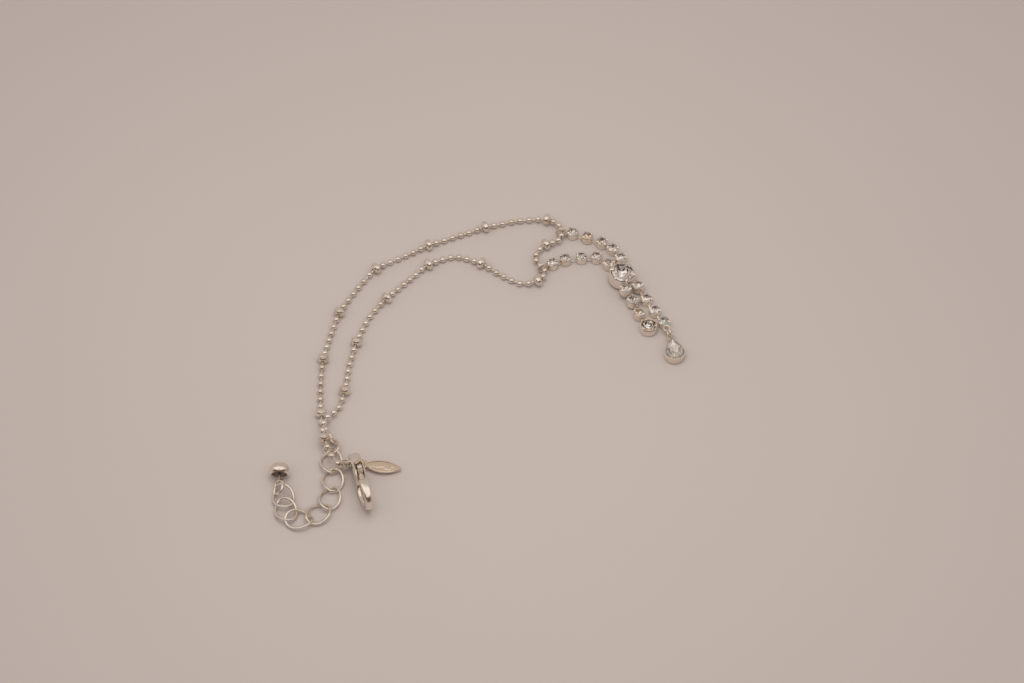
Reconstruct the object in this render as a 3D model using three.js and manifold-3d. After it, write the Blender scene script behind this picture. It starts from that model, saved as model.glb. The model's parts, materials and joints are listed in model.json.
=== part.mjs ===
// Rhinestone anklet, lying folded in a long hairpin on a flat surface.
// A satellite ball chain carries two arms of rhinestone cup chain that meet at a large stone,
// from which a short and a long drop hang. A lobster clasp closes on an extender chain.
// Millimetres, +Z up, the surface at z = 0, the origin under the middle of the whole anklet.
import * as THREE from 'three';
import { mergeVertices } from 'three/addons/utils/BufferGeometryUtils.js';
import Module from 'manifold-3d';

const wasm = await Module();
wasm.setup();

// ---- Driving dimensions --------------------------------------------------------------------

// Ball chain: small balls, a rondelle at every seventh place
const BALL_DIAMETER = 1.5;
const RONDELLE_DIAMETER = 2.7;
const RONDELLE_THICKNESS = 2.0;
const PITCHES_PER_PERIOD = 7;
const CHAIN_STEPS = 80;
const CHAIN_SIDES = 8;

// Small wire eyes on settings and at the chain's ends
const EYE_RADIUS = 0.8;
const EYE_WIRE = 0.5;

// Cup chain: small cups on link bars
const CUP = { radius: 1.4, height: 1.75, wall: 0.24, floor: 0.35, prong: 0.45, prongs: 4, sides: 12 };
const CUP_STONE = { girdle: 0.95, table: 0.55, crown: 0.5, pavilion: 0.8, sides: 10 };
const LINK_BAR_WIDTH = 0.8;
const LINK_BAR_THICKNESS = 0.3;
const LINK_BAR_HEIGHT = 0.2; // its middle, above the cup's foot
const ARM_LOOP_RADIUS = 1.25;

// Large and medium round settings
const BIG_CUP = { radius: 3.0, height: 3.1, wall: 0.35, floor: 0.5, prong: 0.5, prongs: 6, sides: 24 };
const BIG_STONE = { girdle: 2.35, table: 1.35, crown: 0.9, pavilion: 1.7, sides: 16 };
const END_CUP = { radius: 2.05, height: 1.8, wall: 0.3, floor: 0.4, prong: 0.35, prongs: 4, sides: 20 };
const END_STONE = { girdle: 1.6, table: 0.9, crown: 0.65, pavilion: 0.95, sides: 12 };
const STONE_DROP = 0.1; // girdle below the cup's rim

// Pear setting and stone
const PEAR_WIDTH = 4.7;
const PEAR_LENGTH = 6.3;
const PEAR_HEIGHT = 2.0;
const PEAR_WALL = 0.35;

// Rings and extender links, of round wire
const WIRE = 0.65;
const LINK_LENGTH = 6.5;
const LINK_WIDTH = 5.2;
const LINK_TWIST = 28; // degrees each way between a link's two ends
const END_RING_RADIUS = 1.85;
const CLASP_RING_RADIUS = 2.0;
const DROP_RING_RADIUS = 1.3;

// End bead on its head pin: a flattened hollow ball, cut off square to make a bell's mouth
const END_BEAD_DIAMETER = 4.7;
const END_BEAD_THICKNESS = 3.5; // of the whole ball
const END_BEAD_MOUTH = 1.1; // from its middle
const END_BEAD_WALL = 0.3;
const PIN_DIAMETER = 0.6;
const PIN_EYE_RADIUS = 1.6;

// Lobster clasp
const CLASP_THICKNESS = 2.4;
const CLASP_EYE_OUTER = 1.9;
const CLASP_EYE_HOLE = 1.0;
const LEVER_THICKNESS = 1.0;
const LEVER_SLOT = 1.7;
const PIVOT_RADIUS = 0.4;
const PIVOT_CLEARANCE = 0.3;

// Leaf tag
const TAG_LENGTH = 9.0; // from its eye to its point
const TAG_WIDTH = 2.9;
const TAG_THICKNESS = 0.5;
const TAG_EYE_RADIUS = 1.4;
const TAG_HOLE_RADIUS = 0.9;

// ---- Places ---------------------------------------------------------------------------------

// Route of the ball chain from the extender end round to the clasp end.
// Columns: x, y, lift above its own resting height, and 1 at a rondelle.
const ROUTE = [
  [-33.8, -19.3, 0.35, 1],
  [-34.9, -17.4, 0.2, 0],
  [-35.8, -15.4, 0.0, 0],
  [-36.0, -13.4, 0.0, 1],
  [-36.5, -6.9, 0.0, 0],
  [-36.3, 1.8, 0.0, 1],
  [-35.0, 8.8, 0.0, 0],
  [-33.2, 15.3, 0.0, 1],
  [-29.6, 22.3, 0.0, 0],
  [-25.2, 28.4, 0.0, 1],
  [-18.9, 32.4, 0.0, 0],
  [-13.0, 35.6, 0.0, 1],
  [-6.2, 38.7, 0.0, 0],
  [0.5, 41.2, 0.0, 1],
  [8.4, 43.4, 0.1, 0],
  [15.3, 43.4, 0.2, 1],
  [18.3, 41.3, 0.7, 0],
  [18.8, 38.9, 0.75, 0],
  [17.6, 36.6, 0.7, 0],
  [14.9, 35.6, 0.2, 1],
  [12.6, 32.7, 0.4, 0],
  [12.8, 30.3, 0.6, 0],
  [14.5, 28.1, 0.75, 0],
  [14.3, 26.0, 0.5, 0],
  [12.9, 24.6, 0.2, 1],
  [9.2, 24.2, 0.0, 0],
  [4.3, 26.8, 0.0, 0],
  [-0.3, 30.0, 0.0, 1],
  [-6.6, 32.3, 0.0, 0],
  [-12.9, 29.6, 0.0, 1],
  [-17.3, 25.3, 0.0, 0],
  [-22.4, 19.6, 0.0, 1],
  [-26.2, 14.3, 0.0, 0],
  [-28.9, 6.6, 0.0, 1],
  [-30.3, 0.2, 0.0, 0],
  [-31.0, -7.2, 0.0, 1],
  [-32.3, -11.9, 0.1, 0],
  [-34.3, -14.9, 1.5, 0],
  [-35.3, -17.7, 1.9, 0],
  [-34.8, -21.1, 1.5, 1],
  [-33.9, -23.7, 1.8, 0],
  [-32.8, -26.0, 1.9, 0],
  [-31.5, -27.72, 1.93, 1],
];
// Pitches between one station of the route (marked 1) and the next
const FIRST_STRETCH = 3;
const LAST_STRETCH = 3;
// Eyes past the chain's first and last ball: which way each lies, and its own axis
const START_EYE = { radius: 1.0, toward: [0.49, -0.87, 0], axis: [-0.87, -0.49, -0.59] };
const FINISH_EYE = { radius: 1.0, toward: [1, 0.1, -0.5], axis: [0, 0.42, -0.9] };

// Cup rows. Columns: x, y, lift, lean in degrees, and the compass angle it leans to.
const UPPER_ARM = [
  [21.4, 39.3, 0.0, 0, 0],
  [24.9, 38.0, 0.0, 0, 0],
  [28.3, 36.4, 0.0, 0, 0],
  [30.8, 34.4, 0.0, 0, 0],
  [32.6, 31.6, 0.0, 0, 0],
];
const LOWER_ARM = [
  [16.4, 30.0, 0.0, 0, 0],
  [19.5, 31.3, 0.0, 0, 0],
  [23.3, 31.8, 0.0, 0, 0],
  [26.9, 31.9, 0.0, 0, 0],
  [29.8, 29.8, 0.0, 0, 0],
];
const LONG_DROP = [
  [36.5, 22.6, 0.6, 3, 110],
  [38.3, 19.2, 0.0, 0, 0],
  [40.1, 15.8, 0.0, 0, 0],
  [42.1, 12.5, 0.0, 0, 0],
];
const SHORT_DROP = [
  [33.4, 21.0, 1.5, 0, 0],
  [35.1, 18.2, 0.5, 6, 110],
  [36.4, 14.9, 0.0, 0, 0],
];
const BIG_CUP_AT = [32.5, 25.6, 0.35, 6, -10];
const END_CUP_AT = [38.5, 11.1, 0.0, 0, 0];
const PEAR_TIP = [43.6, 7.4];
const PEAR_TURN = 8; // degrees, from straight towards -Y
const EYE_HEIGHT = 1.6;

// Extender. Columns: x, y, z, then in degrees the heading of its length, its pitch and its roll.
const LINKS = [
  [-43.2, -35.5, 1.35, -60, 1, 16],
  [-42.4, -38.9, 1.1, -60, 0, 7],
  [-39.4, -41.3, 1.05, -2, 4, 0],
  [-35.2, -39.8, 1.05, 42, 2, -2],
  [-32.9, -35.8, 1.05, 75, 3, -3],
  [-32.5, -31.1, 1.0, 91, 0, 0],
  [-33.1, -26.2, 1.05, 93, -1, -1],
];
const END_RING_AT = [-33.2, -22.5, 1.15];
const END_RING_AXIS = [-0.46, 0, 1];
const END_BEAD_AT = [-44.2, -29.5, END_BEAD_DIAMETER / 2];
const END_BEAD_PITCH = 9; // degrees, its pin's eye end down

// Clasp, standing on its back: the middle of its eye, and in degrees the heading of its length,
// its claw end's rise and its lean to the lever's right
const CLASP_AT = [-27.6, -28.0, 3.65];
const CLASP_HEADING = -73;
const CLASP_PITCH = 1.8;
const CLASP_LEAN = 3;
// Leaf tag: the middle of its eye, and its pitch and heading in degrees
const TAG_AT = [-26.5, -27.1, 1.2];
const TAG_TURN = [4, -6];

// ---- Materials ------------------------------------------------------------------------------

const silver = () => new THREE.MeshStandardMaterial({ color: 0xd9d4cc, roughness: 0.16, metalness: 1.0 });
const rhinestone = () => new THREE.MeshStandardMaterial({ color: 0xeceef2, roughness: 0.03, metalness: 0.0 });

// ---- Solids ---------------------------------------------------------------------------------

function toSolid(geometry) {
  const bare = geometry.index ? geometry.toNonIndexed() : geometry.clone();
  bare.deleteAttribute('normal');
  bare.deleteAttribute('uv');
  const merged = mergeVertices(bare, 1e-4);
  return new wasm.Manifold(new wasm.Mesh({
    numProp: 3,
    vertProperties: new Float32Array(merged.attributes.position.array),
    triVerts: new Uint32Array(merged.index.array),
  }));
}

function toGeometry(solid) {
  const mesh = solid.getMesh();
  const geometry = new THREE.BufferGeometry();
  geometry.setAttribute('position', new THREE.BufferAttribute(mesh.vertProperties, 3));
  geometry.setIndex(new THREE.BufferAttribute(mesh.triVerts, 1));
  return geometry;
}

function join(geometries) {
  return toGeometry(geometries.map(toSolid).reduce((a, b) => a.add(b)));
}

const vec = (x, y, z) => new THREE.Vector3(x, y, z);
const radians = THREE.MathUtils.degToRad;

// A frame whose Z runs along the given direction, at the given place
function frameAlong(place, direction) {
  const turn = new THREE.Quaternion().setFromUnitVectors(vec(0, 0, 1), direction.clone().normalize());
  return new THREE.Matrix4().compose(place, turn, vec(1, 1, 1));
}

// A round wire ring whose own axis runs along the given direction
function wireRing(place, axis, radius, wire, around = 16, sides = 6) {
  const ring = new THREE.TorusGeometry(radius, wire / 2, sides, around);
  return ring.applyMatrix4(frameAlong(place, axis));
}

// A straight bar of square section between two places
function bar(from, to, width, thickness) {
  const along = to.clone().sub(from);
  const box = new THREE.BoxGeometry(along.length(), width, thickness);
  const yaw = Math.atan2(along.y, along.x);
  const pitch = -Math.atan2(along.z, Math.hypot(along.x, along.y));
  box.rotateY(pitch);
  box.rotateZ(yaw);
  const middle = from.clone().add(to).multiplyScalar(0.5);
  return box.translate(middle.x, middle.y, middle.z);
}

// ---- Ball chain -----------------------------------------------------------------------------

// Middles of all balls in order, with the rondelles marked
function ballPlaces() {
  const curve = new THREE.CatmullRomCurve3(ROUTE.map(([x, y, lift]) => vec(x, y, lift)));
  const fine = 24;
  const spans = ROUTE.length - 1;
  const points = curve.getPoints(spans * fine);
  const lengths = [0];
  for (let i = 1; i < points.length; i++) {
    const flat = Math.hypot(points[i].x - points[i - 1].x, points[i].y - points[i - 1].y);
    lengths.push(lengths[i - 1] + flat);
  }
  const pointAt = (length) => {
    let i = 1;
    while (i < lengths.length - 1 && lengths[i] < length) i++;
    const share = (length - lengths[i - 1]) / (lengths[i] - lengths[i - 1]);
    return points[i - 1].clone().lerp(points[i], share);
  };
  const stations = ROUTE.flatMap((row, i) => (row[3] ? [lengths[i * fine]] : []));
  const restHeight = (steps) => {
    const low = BALL_DIAMETER / 2;
    const high = RONDELLE_DIAMETER / 2;
    return steps === 0 ? high : steps === 1 ? (low + high) / 2 : low + 0.03;
  };
  const balls = [];
  stations.slice(0, -1).forEach((start, k) => {
    const first = k === 0;
    const last = k === stations.length - 2;
    const count = first ? FIRST_STRETCH : last ? LAST_STRETCH : PITCHES_PER_PERIOD;
    for (let j = 0; j < count + (last ? 1 : 0); j++) {
      const place = pointAt(start + ((stations[k + 1] - start) * j) / count);
      const after = first ? Infinity : j;
      const before = last ? Infinity : count - j;
      place.z += restHeight(Math.min(after, before));
      balls.push({ place, rondelle: !first && j === 0 });
    }
  });
  return balls;
}

function ballChain(balls) {
  const n = balls.length;
  const outward = (end, next) => end.place.clone().sub(next.place).normalize();
  const startOut = outward(balls[0], balls[1]);
  const finishOut = outward(balls[n - 1], balls[n - 2]);
  const past = BALL_DIAMETER / 2 - 0.15;
  const curve = new THREE.CatmullRomCurve3([
    balls[0].place.clone().addScaledVector(startOut, past),
    ...balls.map((ball) => ball.place),
    balls[n - 1].place.clone().addScaledVector(finishOut, past),
  ]);
  const section = new THREE.Shape();
  for (let i = 0; i < CHAIN_SIDES; i++) {
    const angle = (2 * Math.PI * (i + 0.5)) / CHAIN_SIDES;
    const x = (Math.cos(angle) * BALL_DIAMETER) / 2;
    const y = (Math.sin(angle) * BALL_DIAMETER) / 2;
    if (i === 0) section.moveTo(x, y);
    else section.lineTo(x, y);
  }
  section.closePath();
  const tube = new THREE.ExtrudeGeometry(section, { steps: CHAIN_STEPS, extrudePath: curve });
  const profile = [0, 1, 2, 3, 4, 5].map((i) => {
    const angle = (Math.PI * i) / 5;
    const x = i === 0 || i === 5 ? 0 : (Math.sin(angle) * RONDELLE_DIAMETER) / 2;
    return new THREE.Vector2(x, (-Math.cos(angle) * RONDELLE_THICKNESS) / 2);
  });
  const parts = [tube];
  balls.forEach((ball, i) => {
    if (!ball.rondelle) return;
    const direction = balls[i + 1].place.clone().sub(balls[i - 1].place);
    const bead = new THREE.LatheGeometry(profile, 10).rotateX(Math.PI / 2);
    parts.push(bead.applyMatrix4(frameAlong(ball.place, direction)));
  });
  const eyePast = (ball, { radius, toward, axis }) => {
    const out = vec(...toward).normalize();
    const middle = ball.place.clone().addScaledVector(out, past + radius);
    return wireRing(middle, vec(...axis).projectOnPlane(out), radius, EYE_WIRE, 14);
  };
  parts.push(eyePast(balls[0], START_EYE), eyePast(balls[n - 1], FINISH_EYE));
  return join(parts);
}

// ---- Cups and stones ------------------------------------------------------------------------

// The frame of a setting that stands or leans on the surface
function settingFrame([x, y, lift, lean, toward]) {
  const axis = vec(Math.cos(radians(toward)), Math.sin(radians(toward)), 0);
  const hinge = vec(-axis.y, axis.x, 0);
  const turn = new THREE.Quaternion().setFromAxisAngle(hinge, radians(lean));
  return new THREE.Matrix4().compose(vec(x, y, lift), turn, vec(1, 1, 1));
}

// An open cup with prongs round its rim, standing on z = 0
function cup(size, turn = 45) {
  const { radius, height, wall, floor, prong, prongs, sides } = size;
  const bevel = 0.15;
  const profile = [
    [0, 0], [radius - bevel, 0], [radius, bevel], [radius, height],
    [radius - wall, height], [radius - wall, floor], [0, floor],
  ].map(([x, y]) => new THREE.Vector2(x, y));
  const parts = [new THREE.LatheGeometry(profile, sides).rotateX(Math.PI / 2)];
  for (let i = 0; i < prongs; i++) {
    const reach = prong + 0.6;
    const box = new THREE.BoxGeometry(wall + 0.05, radius * 0.32, reach);
    box.translate(radius - wall / 2, 0, height + prong - reach / 2);
    parts.push(box.rotateZ(radians(turn + (360 * i) / prongs)));
  }
  return parts;
}

// A faceted round stone whose girdle is at the given height
function stone(size, girdleHeight) {
  const { girdle, table, crown, pavilion, sides } = size;
  const edge = 0.08;
  const profile = [
    [0, -pavilion], [girdle, -edge], [girdle, edge], [table, crown], [0, crown],
  ].map(([x, y]) => new THREE.Vector2(x, y + girdleHeight));
  return new THREE.LatheGeometry(profile, sides).rotateX(Math.PI / 2);
}

const placeOf = (row, height) => vec(0, 0, height).applyMatrix4(settingFrame(row));

// A row of small cups soldered on link bars, with any further parts of the same metal
function cupRow(rows, extras) {
  const parts = rows.flatMap((row, i) => {
    const cups = cup(CUP).map((piece) => piece.applyMatrix4(settingFrame(row)));
    if (i === 0) return cups;
    const [from, to] = [rows[i - 1], row].map((end) => placeOf(end, LINK_BAR_HEIGHT));
    return [...cups, bar(from, to, LINK_BAR_WIDTH, LINK_BAR_THICKNESS)];
  });
  return join([...parts, ...extras]);
}

// A short bar from a row's end cup towards a large cup, ending a gap before its wall
function rowEndBar(row, target, targetRadius, gap = 0.45) {
  const from = placeOf(row, LINK_BAR_HEIGHT);
  const to = vec(target[0], target[1], from.z);
  const along = to.clone().sub(from);
  const end = from.clone().addScaledVector(along.clone().normalize(), along.length() - targetRadius - gap);
  return bar(from, end, LINK_BAR_WIDTH, LINK_BAR_THICKNESS);
}

function pearShape(inset) {
  const radius = PEAR_WIDTH / 2 - inset;
  const tip = PEAR_LENGTH - PEAR_WIDTH / 2 - inset * 2.1;
  const shape = new THREE.Shape();
  const open = Math.acos(radius / (tip * 1.08));
  const steps = 14;
  for (let i = 0; i <= steps; i++) {
    const angle = Math.PI / 2 + open + ((2 * Math.PI - 2 * open) * i) / steps;
    const x = Math.cos(angle) * radius;
    const y = Math.sin(angle) * radius;
    if (i === 0) shape.moveTo(x, y);
    else shape.lineTo(x, y);
  }
  shape.lineTo(0, tip);
  shape.closePath();
  return shape;
}

// A plate of the given outline from z = 0 up, its edges bevelled; doubled outline points are dropped
function extrude(shape, depth, bevel = 0) {
  const points = shape.getPoints(8);
  const apart = points.filter((point, i) => point.distanceTo(points.at(i - 1)) > 0.01);
  return new THREE.ExtrudeGeometry(new THREE.Shape(apart), {
    depth: depth - 2 * bevel, bevelEnabled: bevel > 0, bevelThickness: bevel, bevelSize: bevel,
    bevelOffset: -bevel, bevelSegments: 1,
  }).translate(0, 0, bevel);
}

// The pear setting's frame: its round end's middle, turned with the drop
function pearFrame() {
  const turn = new THREE.Quaternion().setFromAxisAngle(vec(0, 0, 1), radians(PEAR_TURN));
  const back = vec(0, -(PEAR_LENGTH - PEAR_WIDTH / 2), 0).applyQuaternion(turn);
  return new THREE.Matrix4().compose(vec(PEAR_TIP[0], PEAR_TIP[1], 0).add(back), turn, vec(1, 1, 1));
}

function pearCup() {
  const floor = 0.4;
  const outer = toSolid(extrude(pearShape(0), PEAR_HEIGHT, 0.15));
  const hollow = toSolid(extrude(pearShape(PEAR_WALL), PEAR_HEIGHT).translate(0, 0, floor));
  const eyePlace = vec(0, PEAR_LENGTH - PEAR_WIDTH / 2 + EYE_RADIUS - 0.35, EYE_HEIGHT);
  const eye = toSolid(wireRing(eyePlace, vec(0, 0, 1), EYE_RADIUS, EYE_WIRE, 12));
  return toGeometry(outer.subtract(hollow).add(eye)).applyMatrix4(pearFrame());
}

function pearStone() {
  const inset = PEAR_WALL + 0.25;
  const body = extrude(pearShape(inset), 1.6, 0.7).translate(0, 0, PEAR_HEIGHT - 0.9);
  return body.applyMatrix4(pearFrame());
}

// ---- Extender, rings and end bead -----------------------------------------------------------

// An oval wire link twisted each way towards its two ends, so that links pass through each other
class TwistedOval extends THREE.Curve {
  getPoint(t, target = vec(0, 0, 0)) {
    const angle = 2 * Math.PI * t;
    const along = Math.cos(angle);
    const across = (Math.sin(angle) * (LINK_WIDTH - WIRE)) / 2;
    const twist = radians(LINK_TWIST) * along;
    return target.set((along * (LINK_LENGTH - WIRE)) / 2, across * Math.cos(twist), across * Math.sin(twist));
  }
}

function extenderLink([x, y, z, heading, pitch, roll]) {
  const tube = new THREE.TubeGeometry(new TwistedOval(), 20, WIRE / 2, 6, true);
  return tube.rotateX(radians(roll)).rotateY(radians(pitch)).rotateZ(radians(heading)).translate(x, y, z);
}

function endBead() {
  const radius = END_BEAD_DIAMETER / 2;
  const half = END_BEAD_THICKNESS / 2;
  const bore = PIN_DIAMETER / 2 + 0.3;
  const mouth = Math.acos(END_BEAD_MOUTH / half);
  const pole = Math.PI - Math.asin(bore / radius);
  const outside = [];
  const inside = [];
  for (let i = 0; i <= 10; i++) {
    const angle = mouth + ((pole - mouth) * i) / 10;
    const point = new THREE.Vector2(Math.sin(angle) * radius, -Math.cos(angle) * half);
    const inward = new THREE.Vector2(-point.x / radius ** 2, -point.y / half ** 2);
    outside.push(point);
    inside.unshift(point.clone().addScaledVector(inward.normalize(), END_BEAD_WALL));
  }
  const profile = [...outside, ...inside, outside[0].clone()];
  return new THREE.LatheGeometry(profile, 20).rotateX(radians(END_BEAD_PITCH)).translate(...END_BEAD_AT);
}

// Head pin through the bead, with the eye that holds the extender's first link
function endPin() {
  const half = END_BEAD_THICKNESS / 2;
  const head = new THREE.CylinderGeometry(0.8, 0.8, 0.3, 10).translate(0, half + 0.45, 0);
  const shank = new THREE.CylinderGeometry(PIN_DIAMETER / 2, PIN_DIAMETER / 2, 2 * half + 1.5, 8);
  const neck = 0.65;
  const eyePlace = vec(0, -half - neck - PIN_EYE_RADIUS, 0);
  const eye = wireRing(eyePlace, vec(-0.8, 0, 0.62), PIN_EYE_RADIUS, PIN_DIAMETER, 14);
  return join([head, shank, eye]).rotateX(radians(END_BEAD_PITCH)).translate(...END_BEAD_AT);
}

// ---- Lobster clasp --------------------------------------------------------------------------

// Clasp frame: X from the eye to the claw, Y towards the lever side, Z across the thickness
function claspFrame() {
  const turn = new THREE.Euler(radians(90 - CLASP_LEAN), radians(-CLASP_PITCH), radians(CLASP_HEADING), 'ZYX');
  return new THREE.Matrix4().makeRotationFromEuler(turn).setPosition(...CLASP_AT);
}

// Pivot and the closed lever, in the clasp's own frame
const PIVOT_AT = [3.3, 1.0];
const CLAW_CENTRE = [8.1, 0.05];
const CLAW_OUTER = [4.7, 3.9];
const CLAW_INNER = [2.8, 2.3];

function claspBodyShape() {
  const shape = new THREE.Shape();
  const [cx, cy] = CLAW_CENTRE;
  shape.absarc(0, 0, CLASP_EYE_OUTER, radians(75), radians(290), false);
  shape.quadraticCurveTo(3.2, -2.3, 5.2, -3.2);
  shape.absellipse(cx, cy, CLAW_OUTER[0], CLAW_OUTER[1], radians(232), radians(440), false, 0);
  shape.quadraticCurveTo(7.5, 3.85, 6.9, 2.8);
  shape.quadraticCurveTo(7.9, 2.6, 8.8, 2.25);
  shape.absellipse(cx + 0.3, cy, CLAW_INNER[0], CLAW_INNER[1], radians(78), radians(-195), true, 0);
  shape.lineTo(5.5, 2.2);
  shape.quadraticCurveTo(4.0, 3.0, 2.4, 2.7);
  shape.closePath();
  return shape;
}

function claspBody() {
  const half = CLASP_THICKNESS / 2;
  const blank = extrude(claspBodyShape(), CLASP_THICKNESS, 0.1).translate(0, 0, -half);
  const hole = new THREE.CylinderGeometry(CLASP_EYE_HOLE, CLASP_EYE_HOLE, 4, 12).rotateX(Math.PI / 2);
  const slot = new THREE.BoxGeometry(5.2, 4.4, LEVER_SLOT).translate(4.4, 1.9, 0);
  const pin = new THREE.CylinderGeometry(PIVOT_RADIUS, PIVOT_RADIUS, CLASP_THICKNESS - 0.6, 10)
    .rotateX(Math.PI / 2).translate(...PIVOT_AT, 0);
  const body = toSolid(blank).subtract(toSolid(hole)).subtract(toSolid(slot)).add(toSolid(pin));
  return toGeometry(body).applyMatrix4(claspFrame());
}

function claspLever() {
  const shape = new THREE.Shape();
  const [px, py] = PIVOT_AT;
  shape.absarc(px, py, 1.15, radians(140), radians(300), false);
  shape.lineTo(5.2, 1.0);
  shape.lineTo(7.7, 1.75);
  shape.lineTo(7.1, 2.35);
  shape.lineTo(5.3, 2.3);
  shape.lineTo(4.7, 3.1);
  shape.absarc(4.1, 3.3, 0.6, radians(0), radians(180), false);
  shape.lineTo(3.1, 2.3);
  shape.closePath();
  const blank = toSolid(extrude(shape, LEVER_THICKNESS, 0.12).translate(0, 0, -LEVER_THICKNESS / 2));
  const bore = PIVOT_RADIUS + PIVOT_CLEARANCE;
  const hole = new THREE.CylinderGeometry(bore, bore, 3, 12).rotateX(Math.PI / 2).translate(px, py, 0);
  return toGeometry(blank.subtract(toSolid(hole))).applyMatrix4(claspFrame());
}

// The ring hangs round the wall behind and below the eye's hole
function claspRing() {
  const place = vec(-0.68, -1.45, 0.1).applyMatrix4(claspFrame());
  const axis = vec(0.88, -0.42, 0.22).transformDirection(claspFrame());
  return wireRing(place, axis, CLASP_RING_RADIUS, WIRE, 20);
}

// ---- Leaf tag -------------------------------------------------------------------------------

// A pointed leaf from its eye towards +X
function leafShape(inset) {
  const shape = new THREE.Shape();
  const half = TAG_WIDTH / 2 - inset;
  const start = TAG_EYE_RADIUS * 0.6 + inset;
  const end = TAG_LENGTH - 2 * inset;
  shape.moveTo(start, 0);
  shape.quadraticCurveTo((start + end) / 2, -half * 2, end, 0);
  shape.quadraticCurveTo((start + end) / 2, half * 2, start, 0);
  return shape;
}

function leafTag() {
  const round = (radius, depth) => new THREE.CylinderGeometry(radius, radius, depth, 16).rotateX(Math.PI / 2);
  const rimHeight = 0.12;
  const leaf = toSolid(extrude(leafShape(0), TAG_THICKNESS));
  const eye = toSolid(round(TAG_EYE_RADIUS, TAG_THICKNESS).translate(0, 0, TAG_THICKNESS / 2));
  const panel = toSolid(extrude(leafShape(0.4), 1).translate(0, 0, TAG_THICKNESS - rimHeight));
  const tag = toGeometry(leaf.add(eye).subtract(panel).subtract(toSolid(round(TAG_HOLE_RADIUS, 3))));
  const [pitch, heading] = TAG_TURN.map(radians);
  return tag.translate(0, 0, -TAG_THICKNESS / 2).rotateY(pitch).rotateZ(heading).translate(...TAG_AT);
}

// ---- The anklet -----------------------------------------------------------------------------

const group = new THREE.Group();

function add(name, geometry, material) {
  const mesh = new THREE.Mesh(geometry, material);
  mesh.name = name;
  group.add(mesh);
}

const balls = ballPlaces();
add('ball_chain', ballChain(balls), silver());

// Each arm ends in a wire loop closed round the nearest neck of the ball chain
function armLoop(row) {
  const necks = balls.slice(1).map((ball, i) => ({
    place: ball.place.clone().add(balls[i].place).multiplyScalar(0.5),
    along: ball.place.clone().sub(balls[i].place),
  }));
  const reach = (neck) => Math.hypot(neck.place.x - row[0], neck.place.y - row[1]);
  const near = necks.reduce((best, neck) => (reach(neck) < reach(best) ? neck : best));
  return wireRing(near.place, near.along, ARM_LOOP_RADIUS, EYE_WIRE, 14);
}

add('upper_arm', cupRow(UPPER_ARM, [
  armLoop(UPPER_ARM[0]), rowEndBar(UPPER_ARM[4], BIG_CUP_AT, BIG_CUP.radius),
]), silver());
add('lower_arm', cupRow(LOWER_ARM, [
  armLoop(LOWER_ARM[0]), rowEndBar(LOWER_ARM[4], BIG_CUP_AT, BIG_CUP.radius),
]), silver());
const dropEnd = vec(PEAR_TIP[0], PEAR_TIP[1], 0).sub(vec(LONG_DROP[3][0], LONG_DROP[3][1], 0)).normalize();
const dropEye = vec(LONG_DROP[3][0], LONG_DROP[3][1], EYE_HEIGHT)
  .addScaledVector(dropEnd, CUP.radius + EYE_RADIUS - 0.1);
add('long_drop', cupRow(LONG_DROP, [
  wireRing(dropEye, vec(0, 0, 1), EYE_RADIUS, EYE_WIRE, 12),
  rowEndBar(LONG_DROP[0], BIG_CUP_AT, BIG_CUP.radius),
]), silver());
add('short_drop', cupRow(SHORT_DROP, [
  rowEndBar(SHORT_DROP[0], BIG_CUP_AT, BIG_CUP.radius),
  rowEndBar(SHORT_DROP[2], END_CUP_AT, END_CUP.radius),
]), silver());

const ringPlace = dropEye.clone().addScaledVector(dropEnd, DROP_RING_RADIUS);
add('drop_ring', wireRing(ringPlace, vec(-dropEnd.y, dropEnd.x, 0), DROP_RING_RADIUS, EYE_WIRE), silver());

add('big_cup', join(cup(BIG_CUP, 30)).applyMatrix4(settingFrame(BIG_CUP_AT)), silver());
add('big_stone', stone(BIG_STONE, BIG_CUP.height - STONE_DROP).applyMatrix4(settingFrame(BIG_CUP_AT)),
  rhinestone());
add('end_cup', join(cup(END_CUP)).applyMatrix4(settingFrame(END_CUP_AT)), silver());
add('end_stone', stone(END_STONE, END_CUP.height - STONE_DROP).applyMatrix4(settingFrame(END_CUP_AT)),
  rhinestone());
add('pear_cup', pearCup(), silver());
add('pear_stone', pearStone(), rhinestone());

[['upper', UPPER_ARM], ['lower', LOWER_ARM], ['long', LONG_DROP], ['short', SHORT_DROP]].forEach(([name, rows]) => {
  rows.forEach((row, i) => {
    const gem = stone(CUP_STONE, CUP.height - STONE_DROP).applyMatrix4(settingFrame(row));
    add(`${name}_stone_${i + 1}`, gem, rhinestone());
  });
});

LINKS.forEach((row, i) => add(`extender_link_${i + 1}`, extenderLink(row), silver()));
add('end_ring', wireRing(vec(...END_RING_AT), vec(...END_RING_AXIS), END_RING_RADIUS, WIRE, 20), silver());
add('end_bead', endBead(), silver());
add('end_pin', endPin(), silver());

add('clasp_body', claspBody(), silver());
add('clasp_lever', claspLever(), silver());
add('clasp_ring', claspRing(), silver());
add('leaf_tag', leafTag(), silver());

export default group;
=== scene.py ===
import json
import math
import random

import bpy
import numpy
from mathutils import Matrix, Vector


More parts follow.
